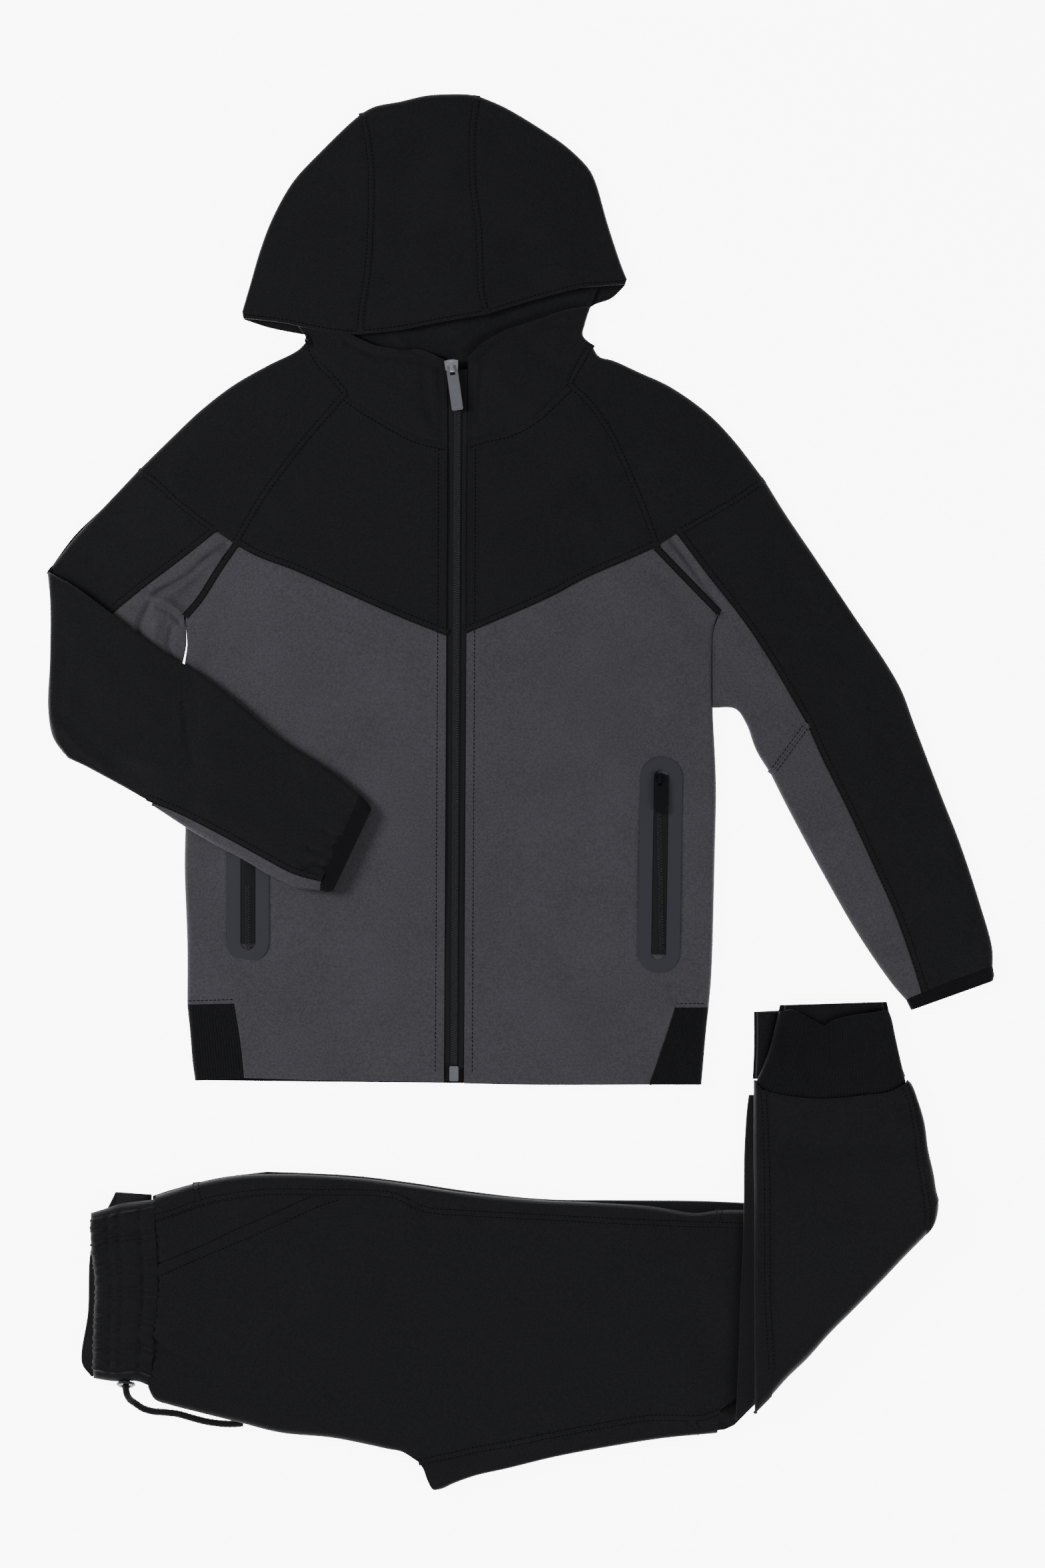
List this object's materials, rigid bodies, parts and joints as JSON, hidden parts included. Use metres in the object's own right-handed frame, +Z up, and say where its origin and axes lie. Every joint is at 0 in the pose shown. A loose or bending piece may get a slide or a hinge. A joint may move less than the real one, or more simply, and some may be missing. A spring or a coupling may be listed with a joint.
{
  "type": "tracksuit",
  "caption": "Child's tracksuit laid flat: black and grey zip hoodie with one sleeve folded across, and black jogger trousers folded below it.",
  "frame": {"origin": "centre of the whole lay on the surface it rests on", "axes": "+Y towards the hood, +X towards the wearer's left sleeve, +Z up from the surface"},
  "size_m": [0.711, 1.0481, 0.0243],
  "materials": {
    "black_double_knit": "matt",
    "grey_double_knit": "matt",
    "rib_knit": "matt, ribbed",
    "lining_jersey": "matt",
    "bonded_film": "satin",
    "zip_tape": "matt, woven",
    "braided_cord": "matt, braided",
    "gunmetal": "satin",
    "silver_metal": "polished"
  },
  "bodies": {
    "set": {"front_yoke_right": "black_double_knit", "front_yoke_left": "black_double_knit", "back_yoke": "black_double_knit", "shoulder_right": "black_double_knit", "shoulder_left": "black_double_knit", "sleeve_left_outer": "black_double_knit", "sleeve_right_outer_upper": "black_double_knit", "sleeve_right_back": "black_double_knit", "sleeve_right_forearm_outer": "black_double_knit", "sleeve_right_forearm_back": "black_double_knit", "collar_right": "black_double_knit", "collar_left": "black_double_knit", "hood_side_right": "black_double_knit", "hood_center": "black_double_knit", "hood_side_left": "black_double_knit", "left_leg_front": "black_double_knit", "legs_hidden_layers": "black_double_knit", "waistband_front": "black_double_knit", "waistband_back": "black_double_knit", "left_shin_front": "black_double_knit", "shins_hidden_layers": "black_double_knit", "front_body_right": "grey_double_knit", "front_body_left": "grey_double_knit", "back_body": "grey_double_knit", "sleeve_left_under_upper": "grey_double_knit", "sleeve_left_under_lower": "grey_double_knit", "sleeve_right_under_upper": "grey_double_knit", "sleeve_right_forearm_under": "grey_double_knit", "left_pocket_facing": "black_double_knit", "left_leg_side": "black_double_knit", "left_leg_inseam": "black_double_knit", "left_shin_side_inner": "black_double_knit", "left_shin_side_outer": "black_double_knit", "cuff_left": "rib_knit", "cuff_right": "rib_knit", "hem_rib_right": "rib_knit", "hem_rib_left": "rib_knit", "hem_rib_back": "rib_knit", "ankle_cuff_left_front": "rib_knit", "ankle_cuff_left_back": "rib_knit", "ankle_cuff_right": "rib_knit", "hood_lining": "lining_jersey", "pocket_film_right": "bonded_film", "pocket_film_left": "bonded_film", "front_zip": "zip_tape", "pocket_zip_right": "zip_tape", "pocket_zip_left": "zip_tape", "drawcord": "braided_cord", "front_zip_box": "gunmetal", "pocket_slider_left": "gunmetal", "eyelet": "gunmetal", "front_slider": "silver_metal"},
    "front_tab": {"front_pull_tab": "gunmetal"},
    "pocket_tab": {"pocket_pull_tab_left": "gunmetal"}
  },
  "joints": [
    {"name": "front_tab_hinge", "type": "hinge", "parent": "set", "child": "front_tab", "pos_m": [-0.0522, 0.3185, 0.0105], "axis": [-0.9903, -0.1392, 0], "range_deg": [0, 150]},
    {"name": "pocket_tab_hinge", "type": "hinge", "parent": "set", "child": "pocket_tab", "pos_m": [0.1038, 0.0095, 0.01128], "axis": [-0.9997, -0.0262, 0], "range_deg": [0, 150]}
  ]
}
